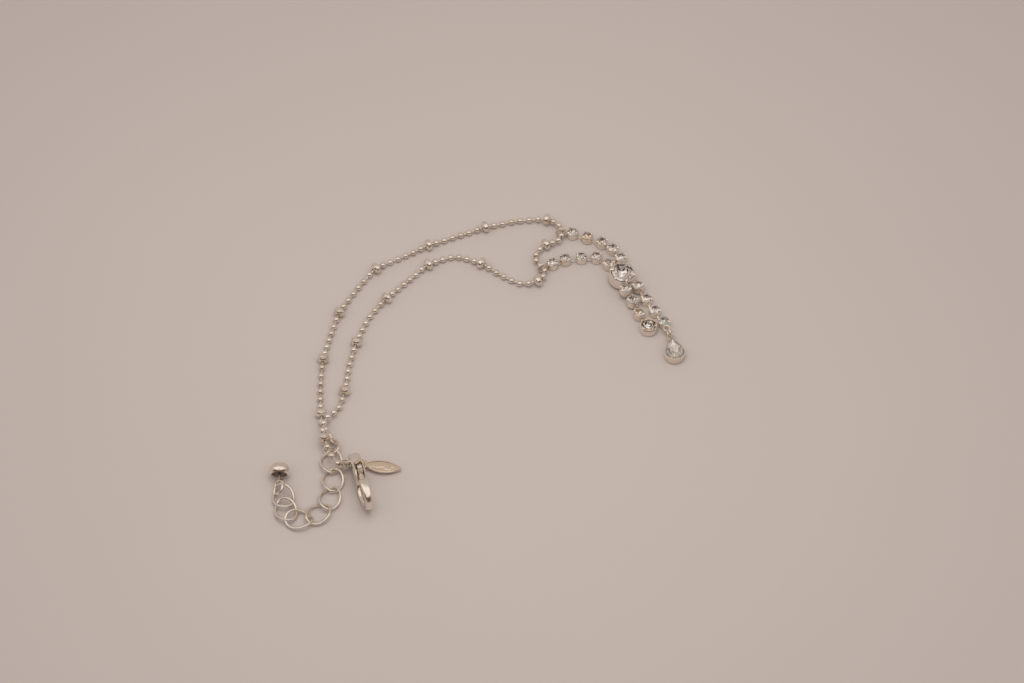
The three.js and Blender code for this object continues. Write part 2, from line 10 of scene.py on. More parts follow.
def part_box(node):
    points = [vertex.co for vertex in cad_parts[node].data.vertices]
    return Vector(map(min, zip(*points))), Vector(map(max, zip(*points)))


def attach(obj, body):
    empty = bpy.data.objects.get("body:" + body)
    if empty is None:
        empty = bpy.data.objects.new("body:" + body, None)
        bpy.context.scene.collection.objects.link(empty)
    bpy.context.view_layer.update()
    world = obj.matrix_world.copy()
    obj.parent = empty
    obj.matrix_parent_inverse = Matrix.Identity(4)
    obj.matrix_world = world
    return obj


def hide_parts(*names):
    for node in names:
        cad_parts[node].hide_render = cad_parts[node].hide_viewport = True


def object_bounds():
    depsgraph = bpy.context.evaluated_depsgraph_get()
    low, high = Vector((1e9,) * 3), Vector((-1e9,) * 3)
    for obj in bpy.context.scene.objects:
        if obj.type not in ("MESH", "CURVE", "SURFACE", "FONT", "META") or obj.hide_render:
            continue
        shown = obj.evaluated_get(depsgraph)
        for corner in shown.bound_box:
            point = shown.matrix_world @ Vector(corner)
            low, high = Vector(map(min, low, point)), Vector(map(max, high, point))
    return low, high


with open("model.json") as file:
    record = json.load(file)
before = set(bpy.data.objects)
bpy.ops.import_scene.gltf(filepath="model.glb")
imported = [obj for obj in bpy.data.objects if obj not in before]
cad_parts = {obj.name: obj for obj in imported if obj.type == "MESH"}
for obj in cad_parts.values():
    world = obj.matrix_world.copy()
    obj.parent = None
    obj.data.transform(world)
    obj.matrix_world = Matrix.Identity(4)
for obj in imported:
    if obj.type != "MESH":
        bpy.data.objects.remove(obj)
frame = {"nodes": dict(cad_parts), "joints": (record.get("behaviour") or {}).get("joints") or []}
cad_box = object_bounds()
bpy.ops.object.select_all(action="DESELECT")


# ---- The view -------------------------------------------------------------------------------
# A close three-quarter look down on jewellery lying on a table: the camera stands half a metre
# away in front of the table and looks down at the middle of the anklet.

LOOK_AT = Vector((0.0069, 0.0078, 0.0))
LOOK_DOWN = math.radians(53.0)
CAMERA_AWAY = 0.512
CAMERA_WIDTH = math.radians(26.0)

towards_camera = Vector((0, -math.cos(LOOK_DOWN), math.sin(LOOK_DOWN)))
bpy.ops.object.camera_add(
    location=LOOK_AT + towards_camera * CAMERA_AWAY,
    rotation=(math.pi / 2 - LOOK_DOWN, 0, 0),
)
camera = bpy.context.object
camera.name = "camera"
camera.data.angle = CAMERA_WIDTH
camera.data.clip_start = 0.01
bpy.context.scene.camera = camera


# ---- The table and the light ----------------------------------------------------------------
# A sheet of matt coated board inside a small white cloth light tent. The board is pale and warm,
# with a faint cloudiness. The tent is bright above, dimmer behind, and dark and warm in its open
# front, which bright metal shows as dark bands.

def linear(code, alpha=1.0):
    """A hex colour, as seen on a screen, in the linear values that shaders take."""
    channels = [int(code[i:i + 2], 16) / 255 for i in (1, 3, 5)]
    return [c / 12.92 if c <= 0.04045 else ((c + 0.055) / 1.055) ** 2.4 for c in channels] + [alpha]


def connect(tree, node, links):
    """Links a node's inputs, each from a (node, output)."""
    for name, (source, output) in links.items():
        tree.links.new(source.outputs[output], node.inputs[name])


def add_node(tree, kind, settings=None, values=None, links=None):
    """Adds a node, with its settings, its inputs' values and its links."""
    node = tree.nodes.new(kind)
    for name, value in (settings or {}).items():
        setattr(node, name, value)
    for name, value in (values or {}).items():
        node.inputs[name].default_value = value
    connect(tree, node, links or {})
    return node


def new_material(name, values):
    """A material whose surface has these values, with its tree, coordinates and surface."""
    material = bpy.data.materials.new(name)
    material.use_nodes = True
    tree = material.node_tree
    tree.nodes.clear()
    place = add_node(tree, "ShaderNodeTexCoord")
    surface = add_node(tree, "ShaderNodeBsdfPrincipled", values=values)
    add_node(tree, "ShaderNodeOutputMaterial", links={"Surface": (surface, "BSDF")})
    return material, tree, place, surface


def noise(tree, place, cycles, **values):
    """Cloudy noise, in cycles a metre. It and the next three give an output to link from."""
    return add_node(tree, "ShaderNodeTexNoise", values={"Scale": cycles, **values},
                    links={"Vector": (place, "Object")}), "Fac"


def relief(tree, place, cycles, strength, height):
    """The normal of a surface with fine noise on it, its height in metres."""
    return add_node(tree, "ShaderNodeBump", values={"Strength": strength, "Distance": height},
                    links={"Height": noise(tree, place, cycles, Detail=2.0)}), "Normal"


def mapped(tree, source, bounds, settings=None):
    """A value taken from between the first two bounds to between the other two, or 0 and 1."""
    names = ("From Min", "From Max", "To Min", "To Max")
    return add_node(tree, "ShaderNodeMapRange", settings, dict(zip(names, bounds)),
                    {"Value": source}), "Result"


def mottled(tree, cloud, colours, stops=(0.0, 1.0)):
    """The tone of a cloudy pattern that runs between two colours."""
    tone = add_node(tree, "ShaderNodeValToRGB", links={"Fac": cloud})
    for element, stop, colour in zip(tone.color_ramp.elements, stops, colours):
        element.position = stop
        element.color = linear(colour)
    return tone, "Color"


def matt_board():
    """Matt coated board: no gloss, with a soft cloudiness some centimetres across and fine fibre."""
    material, tree, place, surface = new_material(
        "matt coated board", {"Roughness": 0.9, "Specular IOR Level": 0.2})
    clouds = noise(tree, place, 9.0, Detail=3.0)
    connect(tree, surface, {"Base Color": mottled(tree, clouds, ("#C1BAB7", "#C5BEBB")),
                            "Normal": relief(tree, place, 2500.0, 0.15, 0.00003)})
    return material


bpy.ops.mesh.primitive_plane_add(size=4.0, location=(0, 0, cad_box[0].z))
table = bpy.context.object
table.name = "table"
table.data.materials.append(matt_board())

TENT_MIDDLE = Vector((0.0, -0.43, 0.9))  # the brightest part of the tent, seen from the anklet


def light_tent():
    """The tent as a world: a bright roof that reaches down both sides, dimmer cloth elsewhere, a
    dark open front below the camera, and the dark lens. The dimmer a part is, the warmer."""
    world = bpy.data.worlds.new("light tent")
    bpy.context.scene.world = world
    world.use_nodes = True
    tree = world.node_tree
    tree.nodes.clear()
    smooth = {"interpolation_type": "SMOOTHSTEP"}
    place = add_node(tree, "ShaderNodeTexCoord")
    narrowed = add_node(tree, "ShaderNodeVectorMath", {"operation": "MULTIPLY"}, {1: (0.3, 1.0, 1.0)},
                        {0: (place, "Generated")})
    wide = add_node(tree, "ShaderNodeVectorMath", {"operation": "NORMALIZE"}, links={0: (narrowed, "Vector")})
    to_roof = add_node(tree, "ShaderNodeVectorMath", {"operation": "DOT_PRODUCT"},
                       {1: TENT_MIDDLE.normalized()}, {0: (wide, "Vector")})
    roof = mapped(tree, (to_roof, "Value"), (0.74, 0.96, 0.53, 1.02), smooth)
    parts = add_node(tree, "ShaderNodeSeparateXYZ", links={"Vector": (place, "Generated")})
    forward = mapped(tree, (parts, "Y"), (-0.5, -0.3), smooth)
    high = mapped(tree, (parts, "Z"), (0.5, 0.62), smooth)
    closed = add_node(tree, "ShaderNodeMath", {"operation": "MAXIMUM"}, links={0: forward, 1: high})
    dimmed = mapped(tree, (closed, "Value"), (0.0, 1.0, 0.3))
    to_lens = add_node(tree, "ShaderNodeVectorMath", {"operation": "DOT_PRODUCT"},
                       {1: towards_camera}, {0: (place, "Generated")})
    lens = mapped(tree, (to_lens, "Value"), (0.992, 0.9965, 1.0, 0.1), smooth)
    shaded = add_node(tree, "ShaderNodeMath", {"operation": "MULTIPLY"}, links={0: roof, 1: dimmed})
    strength = add_node(tree, "ShaderNodeMath", {"operation": "MULTIPLY"},
                        links={0: (shaded, "Value"), 1: lens})
    tint = add_node(tree, "ShaderNodeValToRGB", links={"Fac": (strength, "Value")})
    tint.color_ramp.elements[0].color = linear("#EBB893")
    tint.color_ramp.elements[1].position = 0.6
    tint.color_ramp.elements[1].color = linear("#FFF7F2")
    glow = add_node(tree, "ShaderNodeBackground",
                    links={"Color": (tint, "Color"), "Strength": (strength, "Value")})
    add_node(tree, "ShaderNodeOutputWorld", links={"Surface": (glow, "Background")})


light_tent()
# One soft lamp above the middle of the table, which lights it a little more than its edges. It is
# behind the tent's cloth, so the metal mirrors the cloth and not the lamp.
LAMP_HEIGHT = 0.25
LAMP_WIDTH = 0.2
LAMP_WATTS = 0.24
bpy.ops.object.light_add(type="AREA", location=(0, 0, LAMP_HEIGHT))
lamp = bpy.context.object
lamp.name = "soft lamp"
lamp.data.shape = "DISK"
lamp.data.size = LAMP_WIDTH
lamp.data.energy = LAMP_WATTS
lamp.data.color = linear("#FFF3E9")[:3]
lamp.visible_glossy = False
lamp.visible_transmission = False
bpy.context.scene.view_settings.view_transform = "Standard"


# ---- Ball chain -----------------------------------------------------------------------------
# A satellite ball chain: hollow 1.5 mm balls rolled from thin brass, held at even steps by short
# wires with headed ends, and a larger rondelle at every seventh step. All of it is silver plated
# and bright. It runs in a long hairpin from the extender to the clasp.

MM = 0.001
BALL = 1.5
RONDELLE = 2.7
STEPS_PER_RONDELLE = 7
FIRST_STEPS = 3
LAST_STEPS = 3
CONNECTOR = 0.42

# The chain's route. Columns, in millimetres: x, y and lift above its own resting height, and then
# 1 at a rondelle.
ROUTE = [
    (-33.8, -19.3, 0.35, 1), (-34.9, -17.4, 0.2, 0), (-35.8, -15.4, 0, 0), (-36.0, -13.4, 0, 1),
    (-36.5, -6.9, 0, 0), (-36.3, 1.8, 0, 1), (-35.0, 8.8, 0, 0), (-33.2, 15.3, 0, 1),
    (-29.6, 22.3, 0, 0), (-25.2, 28.4, 0, 1), (-18.9, 32.4, 0, 0), (-13.0, 35.6, 0, 1),
    (-6.2, 38.7, 0, 0), (0.5, 41.2, 0, 1), (8.4, 43.4, 0.1, 0), (15.3, 43.4, 0.2, 1),
    (18.3, 41.3, 0.7, 0), (18.8, 38.9, 0.75, 0), (17.6, 36.6, 0.7, 0), (14.9, 35.6, 0.2, 1),
    (12.6, 32.7, 0.4, 0), (12.8, 30.3, 0.6, 0), (14.5, 28.1, 0.75, 0), (14.3, 26.0, 0.5, 0),
    (12.9, 24.6, 0.2, 1), (9.2, 24.2, 0, 0), (4.3, 26.8, 0, 0), (-0.3, 30.0, 0, 1),
    (-6.6, 32.3, 0, 0), (-12.9, 29.6, 0, 1), (-17.3, 25.3, 0, 0), (-22.4, 19.6, 0, 1),
    (-26.2, 14.3, 0, 0), (-28.9, 6.6, 0, 1), (-30.3, 0.2, 0, 0), (-31.0, -7.2, 0, 1),
    (-32.3, -11.9, 0.1, 0), (-34.3, -14.9, 1.5, 0), (-35.3, -17.7, 1.9, 0), (-34.8, -21.1, 1.5, 1),
    (-33.9, -23.7, 1.8, 0), (-32.8, -26.0, 1.9, 0), (-31.5, -27.72, 1.93, 1),
]
START_EYE = {"radius": 1.0, "toward": (0.49, -0.87, 0), "axis": (-0.87, -0.49, -0.59)}
FINISH_EYE = {"radius": 1.0, "toward": (1, 0.1, -0.5), "axis": (0, 0.42, -0.9)}


def route_point(points, at):
    """A point on the smooth curve through the route's points, at counts of spans."""
    k = min(int(at), len(points) - 2)
    t = at - k
    p1, p2 = points[k], points[k + 1]
    p0 = points[k - 1] if k > 0 else 2 * p1 - p2
    p3 = points[k + 2] if k + 2 < len(points) else 2 * p2 - p1
    d0, d1, d2 = (math.sqrt((b - a).length) for a, b in ((p0, p1), (p1, p2), (p2, p3)))
    m1 = ((p1 - p0) / d0 - (p2 - p0) / (d0 + d1) + (p2 - p1) / d1) * d1
    m2 = ((p2 - p1) / d1 - (p3 - p1) / (d1 + d2) + (p3 - p2) / d2) * d1
    return (p1 + m1 * t + (3 * (p2 - p1) - 2 * m1 - m2) * t ** 2 + (2 * (p1 - p2) + m1 + m2) * t ** 3)


def ball_places():
    """Every ball's middle in order, in millimetres, and whether it is a rondelle."""
    fine = 24  # straight pieces that stand for each span of the curve
    none_near = 99
    points = [Vector(row[:3]) for row in ROUTE]
    line = [route_point(points, i / fine) for i in range((len(ROUTE) - 1) * fine + 1)]
    along = [0.0]
    for a, b in zip(line, line[1:]):
        along.append(along[-1] + (b - a).xy.length)
    stations = [along[i * fine] for i, row in enumerate(ROUTE) if row[3]]
    spans = list(zip(stations, stations[1:]))
    low, high = BALL / 2, RONDELLE / 2
    resting = {0: high, 1: (low + high) / 2}  # height by the number of steps to the nearest rondelle
    balls = []
    for k, (start, end) in enumerate(spans):
        first, last = k == 0, k == len(spans) - 1
        steps = FIRST_STEPS if first else LAST_STEPS if last else STEPS_PER_RONDELLE
        for j in range(steps + (1 if last else 0)):
            length = start + (end - start) * j / steps
            place = Vector([numpy.interp(length, along, [p[axis] for p in line]) for axis in range(3)])
            nearest = min(none_near if first else j, none_near if last else steps - j)
            place.z += resting.get(nearest, low + 0.03)
            balls.append((place, j == 0 and not first))
    return balls


def placed(place, turn):
    """The placing matrix of a piece modelled in millimetres, turned and moved to its place."""
    return Matrix.Scale(MM, 4) @ Matrix.Translation(place) @ turn


def along_z(place, direction, roll=0.0):
    """The placing matrix that stands a piece modelled along +Z in a direction."""
    turn = Vector(direction).to_track_quat("Z", "Y").to_matrix().to_4x4()
    return placed(place, turn) @ Matrix.Rotation(roll, 4, "Z")


def solid_points(node):
    """The corners of a node's solid, in millimetres."""
    return [v.co / MM for v in frame["nodes"][node].data.vertices]


def silver_plate(name, wave_height, dullness, colours=("#F5EEE5", "#E4D5C3")):
    """Silver plate on brass: a soft mirror with waves about a millimetre long from polishing, and in
    patches a few millimetres across it is duller and slightly yellow with tarnish."""
    material, tree, place, surface = new_material(name, {"Metallic": 1.0})
    patches = noise(tree, place, 260.0, Detail=4.0, Roughness=0.6)
    connect(tree, surface, {"Base Color": mottled(tree, patches, colours, (0.35, 0.75)),
                            "Roughness": mapped(tree, patches, (0.3, 0.8, dullness, dullness + 0.12)),
                            "Normal": relief(tree, place, 900.0, 0.5, wave_height)})
    return material


SILVER = silver_plate("bright silver plate", 0.00001, 0.1)


def choose(piece, test):
    """Selects, in edit mode, the faces whose middle and normal pass the test."""
    bpy.context.view_layer.objects.active = piece
    if piece.mode != "EDIT":
        bpy.ops.object.mode_set(mode="EDIT")
    bpy.ops.mesh.select_mode(type="FACE")
    bpy.ops.mesh.select_all(action="DESELECT")
    bpy.ops.object.mode_set(mode="OBJECT")
    for face in piece.data.polygons:
        face.select = bool(test(face.center, face.normal))
    bpy.ops.object.mode_set(mode="EDIT")


def all_over(middle, normal):
    """The test that every face passes."""
    return True


def at_ends(middle, normal):
    """The test for the flat faces at both ends of a piece's Z axis."""
    return abs(normal.z) > 0.9


def on_top(middle, normal):
    """The test for the faces that look up the Z axis."""
    return normal.z > 0.9


def underneath(middle, normal):
    """The test for the faces that look down the Z axis."""
    return normal.z < -0.9


def round_rim(piece, test, width, steps):
    """Rounds the edges about the faces that pass the test."""
    choose(piece, test)
    bpy.ops.mesh.bevel(offset=width, segments=steps, affect="EDGES")


def inset(*steps):
    """Insets what is selected, step by step, each by a width and a rise."""
    for width, rise in steps:
        bpy.ops.mesh.inset(thickness=width, depth=rise)


def resize(x, y, z, about=(0, 0, 0)):
    """Scales what is selected about a point."""
    bpy.ops.transform.resize(value=(x, y, z), center_override=about)


def push(offset, shrink=1.0):
    """Extrudes what is selected by an offset, then scales it about the piece's own Z axis."""
    bpy.ops.mesh.extrude_region_move(TRANSFORM_OT_translate={"value": offset})
    if shrink != 1.0:
        resize(shrink, shrink, 1)


def leave_edit_mode(piece):
    """The piece back in object mode, and active."""
    if piece.mode == "EDIT":
        bpy.ops.object.mode_set(mode="OBJECT")
    bpy.context.view_layer.objects.active = piece


def use_modifier(piece, kind, **settings):
    """Adds a modifier with its settings and applies it."""
    leave_edit_mode(piece)
    modifier = piece.modifiers.new(kind.lower(), kind)
    for name, value in settings.items():
        setattr(modifier, name, value)
    bpy.ops.object.modifier_apply(modifier=modifier.name)


def round_edges(piece, width, sharp=30):
    """Rounds every edge that is sharper than the angle, in degrees."""
    use_modifier(piece, "BEVEL", width=width, segments=2, limit_method="ANGLE",
                 angle_limit=math.radians(sharp))


def finish_pattern(piece, angle, material=SILVER):
    """Back to object mode, with its material and smooth shading up to the given angle in degrees."""
    leave_edit_mode(piece)
    bpy.ops.object.select_all(action="DESELECT")
    piece.select_set(True)
    bpy.ops.object.transform_apply(location=True, rotation=True, scale=True)
    if not piece.data.materials:
        piece.data.materials.append(material)
    bpy.ops.object.shade_smooth_by_angle(angle=math.radians(angle))
    bpy.ops.object.select_all(action="DESELECT")
    return piece


def copy_of(pattern, name, place):
    """A copy of a pattern piece, with its own mesh set at its place."""
    piece = bpy.data.objects.new(name, pattern.data.copy())
    piece.data.name = name
    piece.data.transform(place)
    bpy.context.scene.collection.objects.link(piece)
    return piece


def joined(name, pieces):
    """Several pieces made one, as where they are soldered or threaded together."""
    bpy.ops.object.select_all(action="DESELECT")
    for piece in pieces:
        piece.select_set(True)
    bpy.context.view_layer.objects.active = pieces[0]
    if len(pieces) > 1:
        bpy.ops.object.join()
    pieces[0].name = name
    bpy.ops.object.select_all(action="DESELECT")
    return pieces[0]


def keep(piece, slot, *nodes, body="anklet"):
    """The piece rides on its body and stands for these nodes, which are hidden. The slot is not used."""
    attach(piece, body)
    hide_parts(*nodes)
    return piece


def discard(*patterns):
    """Takes away the pattern pieces that copies were made from."""
    for pattern in patterns:
        bpy.data.objects.remove(pattern)


def cylinder(sides, radius, depth, place=(0, 0, 0)):
    """A cylinder along the Z axis."""
    bpy.ops.mesh.primitive_cylinder_add(vertices=sides, radius=radius, depth=depth, location=place)
    return bpy.context.object


def sphere(around, rings, radius, place=(0, 0, 0)):
    """A sphere with its poles on the Z axis."""
    bpy.ops.mesh.primitive_uv_sphere_add(segments=around, ring_count=rings, radius=radius, location=place)
    return bpy.context.object


def chain_ball():
    """A rolled hollow ball with a lipped hole at each end of its axis."""
    lip = 0.85
    ball = sphere(14, 8, BALL / 2)
    choose(ball, lambda middle, normal: abs(middle.z) > 0.9 * BALL / 2)
    bpy.ops.mesh.delete(type="FACE")
    bpy.ops.mesh.select_mode(type="EDGE")
    bpy.ops.mesh.select_non_manifold()
    bpy.ops.mesh.extrude_region_move()
    resize(lip, lip, lip)
    return finish_pattern(ball, 50)


def chain_rondelle():
    """A turned rondelle: a rounded band, a fine groove and a domed shoulder on each side, bored."""
    groove = [(0.05, -0.08), (0.05, 0.08)]
    dome = [(0.2, 0.2), (0.25, 0.13), (0.2, 0.04)]
    bore = (0.03, -0.3)
    rondelle = cylinder(28, RONDELLE / 2, 1.0)
    round_rim(rondelle, at_ends, 0.24, 4)
    choose(rondelle, lambda middle, normal: abs(normal.z) > 0.9995)
    inset(*groove, *dome, bore)
    return finish_pattern(rondelle, 40)


def chain_wire():
    """The wire between two balls, one long, with its headed ends inside them."""
    wire = cylinder(8, CONNECTOR / 2, 1.0)
    choose(wire, at_ends)
    inset((0.04, 0.03))
    return finish_pattern(wire, 50)


SEAM = (0.02, -0.025)  # width and depth of the butt seam in a closed ring


def wire_ring(radius, wire, around=28, sides=10):
    """A ring of round wire about +Z, with the fine butt seam where it was closed."""
    bpy.ops.mesh.primitive_torus_add(major_radius=radius, minor_radius=wire / 2,
                                     major_segments=around, minor_segments=sides)
    ring = bpy.context.object
    seam = 0.5 * 2 * math.pi * radius / around
    choose(ring, lambda middle, normal: middle.x > 0 and abs(middle.y - seam) < 0.2 * seam)
    inset(SEAM)
    return finish_pattern(ring, 50)


EYE_WIRE = 0.5
CRIMP = {"radius1": 0.66, "radius2": 0.34, "depth": 0.7}
CRIMP_AWAY = 0.72  # its middle from the ball's
EYE_SUNK = 0.15


def end_eye(ball, eye):
    """The closed eye past the chain's last ball, and the crimped cup that holds it to the ball."""
    out = Vector(eye["toward"]).normalized()
    middle = ball + out * (BALL / 2 - EYE_SUNK + eye["radius"])
    axis = Vector(eye["axis"])
    axis -= out * axis.dot(out)
    bpy.ops.mesh.primitive_cone_add(vertices=14, **CRIMP)
    crimp = bpy.context.object
    round_rim(crimp, at_ends, 0.1, 2)
    finish_pattern(crimp, 50)
    ring = wire_ring(eye["radius"], EYE_WIRE)
    made = [copy_of(crimp, "crimp", along_z(ball + out * CRIMP_AWAY, out)),
            copy_of(ring, "eye", along_z(middle, axis))]
    discard(crimp, ring)
    return made


BALL_ROLL = 0.7  # each ball is turned this much further on its wire than the last
balls = ball_places()
ball, rondelle, wire = chain_ball(), chain_rondelle(), chain_wire()
small, large, wires = [], [], []
for i, (place, is_rondelle) in enumerate(balls):
    direction = balls[min(i + 1, len(balls) - 1)][0] - balls[max(i - 1, 0)][0]
    pattern, made = (rondelle, large) if is_rondelle else (ball, small)
    made.append(copy_of(pattern, f"ball_{i}", along_z(place, direction, BALL_ROLL * i)))
    if i:
        span = place - balls[i - 1][0]
        stretch = Matrix.Diagonal((1, 1, span.length, 1))
        wires.append(copy_of(wire, f"wire_{i}", along_z(place - span / 2, span) @ stretch))
discard(ball, rondelle, wire)
for name, made in (("chain_balls", small), ("chain_rondelles", large), ("chain_wires", wires)):
    keep(joined(name, made), "silver", "ball_chain")
keep(joined("chain_start_eye", end_eye(balls[0][0], START_EYE)), "silver", "ball_chain")
keep(joined("chain_finish_eye", end_eye(balls[-1][0], FINISH_EYE)), "silver", "ball_chain")


# ---- Rhinestones ----------------------------------------------------------------------------
# Machine-cut crystal glass chatons: a faceted crown with a flat table over a faceted cone whose
# back is foiled with a mirror. The foil sends the light back out through the crown, so each stone
# shows bright and dark facets. Here and there a facet of the foil is tinted amber, blue or green:
# painted sparks of colour that stand for the crystal's fire.

STONE_DROP = 0.1  # girdle below the cup's rim
SMALL_STONE = {"girdle": 1.12, "table": 0.55, "crown": 0.5, "pavilion": 0.85, "mains": 8}
BIG_STONE = {"girdle": 2.5, "table": 1.25, "crown": 0.95, "pavilion": 1.85, "mains": 12}
END_STONE = {"girdle": 1.78, "table": 0.95, "crown": 0.7, "pavilion": 1.2, "mains": 10}


def crystal_glass(name, haze, clarity, tint="#FDFDFF"):
    """Lead crystal: highly refractive, very smooth but for a faint haze; a low clarity is milky."""
    material, tree, place, surface = new_material(
        name, {"Base Color": linear(tint), "IOR": 1.56, "Transmission Weight": clarity})
    clouds = noise(tree, place, 1500.0, Detail=3.0)
    connect(tree, surface, {"Roughness": mapped(tree, clouds, (0.5, 0.8, haze, haze + 0.05))})
    return material


def mirror_foil(name, *colours):
    """A vacuum-laid mirror foil behind the glass, a little uneven in tone."""
    material, tree, place, surface = new_material(name, {"Metallic": 1.0, "Roughness": 0.03})
    clouds = noise(tree, place, 1200.0, Detail=1.0)
    connect(tree, surface, {"Base Color": mottled(tree, clouds, colours, (0.35, 0.65))})
    return material


GLASS = crystal_glass("lead crystal glass", 0.0, 1.0)
# The tinted foils are painted fire: coloured glints set in the foil's colour that stand for the crystal's
# dispersion.
FOILS = [
    mirror_foil("mirror foil", "#FFFBF6", "#EFE8E0"),
    mirror_foil("mirror foil with painted amber fire", "#FFC15A", "#FFE6B8"),
    mirror_foil("mirror foil with painted blue fire", "#7FC0FF", "#D5EAFF"),
    mirror_foil("mirror foil with painted green fire", "#C4F2A8", "#F4FFE8"),
]
# Painted fire: how often a foil facet is tinted amber, blue or green instead of plain mirror.
PAINTED_FIRE = [0.94, 0.035, 0.015, 0.01]  # how often a facet of the foil shows each
fire = random.Random(5)
cutting = random.Random(8)  # each facet is a degree or two off


def grind(tilt, turn, through, below=False):
    """Grinds one facet: tilt from level and turn about the stone's axis, in radians, through a
    point at (radius, height) on the facet's middle line."""
    side = -1 if below else 1
    normal = Vector((math.sin(tilt) * math.cos(turn), math.sin(tilt) * math.sin(turn), side * math.cos(tilt)))
    point = Vector((through[0] * math.cos(turn), through[0] * math.sin(turn), through[1]))
    bpy.ops.mesh.select_all(action="SELECT")
    bpy.ops.mesh.bisect(plane_co=point, plane_no=normal, use_fill=True, clear_outer=True, threshold=1e-5)


def polished(stone, glass):
    """A ground stone, finished in its glass and with the foils that its back may take."""
    finish_pattern(stone, 1, glass)
    for foil in FOILS:
        stone.data.materials.append(foil)
    return stone


def cut_stone(girdle, table, crown, pavilion, mains):
    """A chaton about +Z with its girdle at zero, ground facet by facet from a glass blank."""
    edge = 0.05 * girdle
    stone = cylinder(mains * 4, girdle, crown + pavilion, (0, 0, (crown - pavilion) / 2))
    bpy.ops.object.mode_set(mode="EDIT")
    slope = math.atan2(crown - edge, girdle - table)
    back_slope = math.atan2(pavilion - edge, girdle)
    step = 2 * math.pi / mains
    for i in range(mains):
        slip = cutting.uniform(-0.05, 0.05)
        grind(slope + slip, i * step, (girdle, edge))
        grind(0.6 * slope, (i + 0.5) * step, (table * 1.04, crown))
        grind(back_slope + slip, i * step, (girdle, -edge), below=True)
        for half in (0.25, -0.25):
            slip = cutting.uniform(-0.03, 0.05)
            grind(slope + 0.15 + slip, (i + half) * step, (girdle, edge * 0.9))
            grind(back_slope + 0.1 + slip, (i + half) * step, (girdle * 0.93, -edge * 1.6), below=True)
    return polished(stone, GLASS)


def foil_back(stone, up, chances, largest):
    """Foils the facets that face down the stone's axis, with a chance of a tinted foil, painted fire, in
    those not larger than the area given, in square millimetres."""
    for face in stone.data.polygons:
        if face.normal.dot(up) < -0.2:
            colours = chances if face.area < largest * MM ** 2 else [1, 0, 0, 0]
            face.material_index = 1 + fire.choices(range(len(FOILS)), colours)[0]


def seat_of(node, apex_above_foot):
    """Where a setting stands: its foot and its axis, in millimetres, read from its stone's solid."""
    points = {tuple(round(c / MM, 4) for c in v.co) for v in frame["nodes"][node].data.vertices}
    points = [Vector(p) for p in points]
    apex = min(points, key=lambda p: p.z)
    middle = sum(points, Vector()) / len(points)
    axis = (middle - apex).normalized()
    return apex - axis * apex_above_foot, axis


def set_stone(pattern, node, foot, axis, girdle_height, roll, chances=PAINTED_FIRE, largest=0.45):
    """A copy of a stone in its setting, foiled behind."""
    stone = copy_of(pattern, node + "_cut", along_z(foot + axis * girdle_height, axis, roll))
    foil_back(stone, axis, chances, largest)
    return keep(stone, "rhinestone", node)


# ---- Cup chain arms and drops ---------------------------------------------------------------
# Rhinestone cup chain: each stone sits in a cup pressed from thin brass strip, with four claws
# closed over its edge, and short flat bars join the cups at their backs. Two arms reach from the
# ball chain to the large stone, and two drops hang from it. It is all silver plated.

CUP = {"radius": 1.4, "height": 1.75, "wall": 0.2, "floor": 0.3, "claws": 4, "rise": 0.42, "sides": 32}
CUP_APEX = 0.85  # the cut stone's point above the cup's foot
ROWS = {"upper": 5, "lower": 5, "long": 4, "short": 3}
ROW_NODES = {"upper": "upper_arm", "lower": "lower_arm", "long": "long_drop", "short": "short_drop"}


def settled():
    """The piece just added or moved, with its place in its mesh."""
    bpy.ops.object.transform_apply(location=True)
    return bpy.context.object


def cup_blank(radius, height, sides, foot):
    """A round blank about +Z on its foot, whose edge is rounded, with its top face selected."""
    cylinder(sides, radius, height, (0, 0, height / 2))
    blank = settled()
    round_rim(blank, underneath, foot * radius, 3)
    choose(blank, on_top)
    return blank


def claw_cup(radius, height, wall, floor, claws, rise, sides):
    """A pressed cup about +Z on its foot: hollow, with claws bent over its rim and dips between."""
    cup = cup_blank(radius, height, sides, 0.16)
    inset((wall, 0))
    push((0, 0, floor - height))

    def at_claw(middle):
        share = (math.atan2(middle.y, middle.x) / (2 * math.pi) * claws) % 1.0
        return min(share, 1 - share) * sides / claws < 1.4

    def on_rim(middle, normal):
        return normal.z > 0.5 and middle.z > height - 0.4 * rise

    choose(cup, lambda middle, normal: on_rim(middle, normal) and not at_claw(middle))
    bpy.ops.transform.translate(value=(0, 0, -0.3 * rise))
    choose(cup, lambda middle, normal: on_rim(middle, normal) and at_claw(middle))
    push((0, 0, 0.45 * rise), 1.04)
    push((0, 0, 0.35 * rise), 0.95)
    push((0, 0, 0.15 * rise), 0.84)
    resize(0.93, 0.93, 1)
    round_edges(cup, 0.04 * radius, 40)
    return finish_pattern(cup, 45)


BAR_WIDTH = 0.85
BAR_THICKNESS = 0.3
BAR_WAIST = 0.6
BAR_HEIGHT = 0.2  # its middle above the cup's foot


def link_bar():
    """The flat bar between two cups, one long along +Z and lying in the X plane, narrow in its middle."""
    bpy.ops.mesh.primitive_cube_add(size=1.0)
    bar = bpy.context.object
    bpy.ops.object.mode_set(mode="EDIT")
    bpy.ops.mesh.select_all(action="SELECT")
    bpy.ops.transform.resize(value=(BAR_THICKNESS, BAR_WIDTH, 1.0))
    bpy.ops.mesh.subdivide(number_cuts=3)
    choose(bar, lambda middle, normal: abs(middle.z) < 0.26 and abs(normal.y) > 0.9)
    resize(1, BAR_WAIST, 1)
    round_edges(bar, 0.06)
    return finish_pattern(bar, 40)


def bar_between(bar, start, end):
    """A copy of the flat bar from one point to the other."""
    span = end - start
    side = span.cross(Vector((0, 0, 1))).normalized()
    up = side.cross(span.normalized())
    turn = Matrix((up, side, span.normalized())).transposed().to_4x4()
    return copy_of(bar, "bar", placed((start + end) / 2, turn) @ Matrix.Diagonal((1, 1, span.length, 1)))


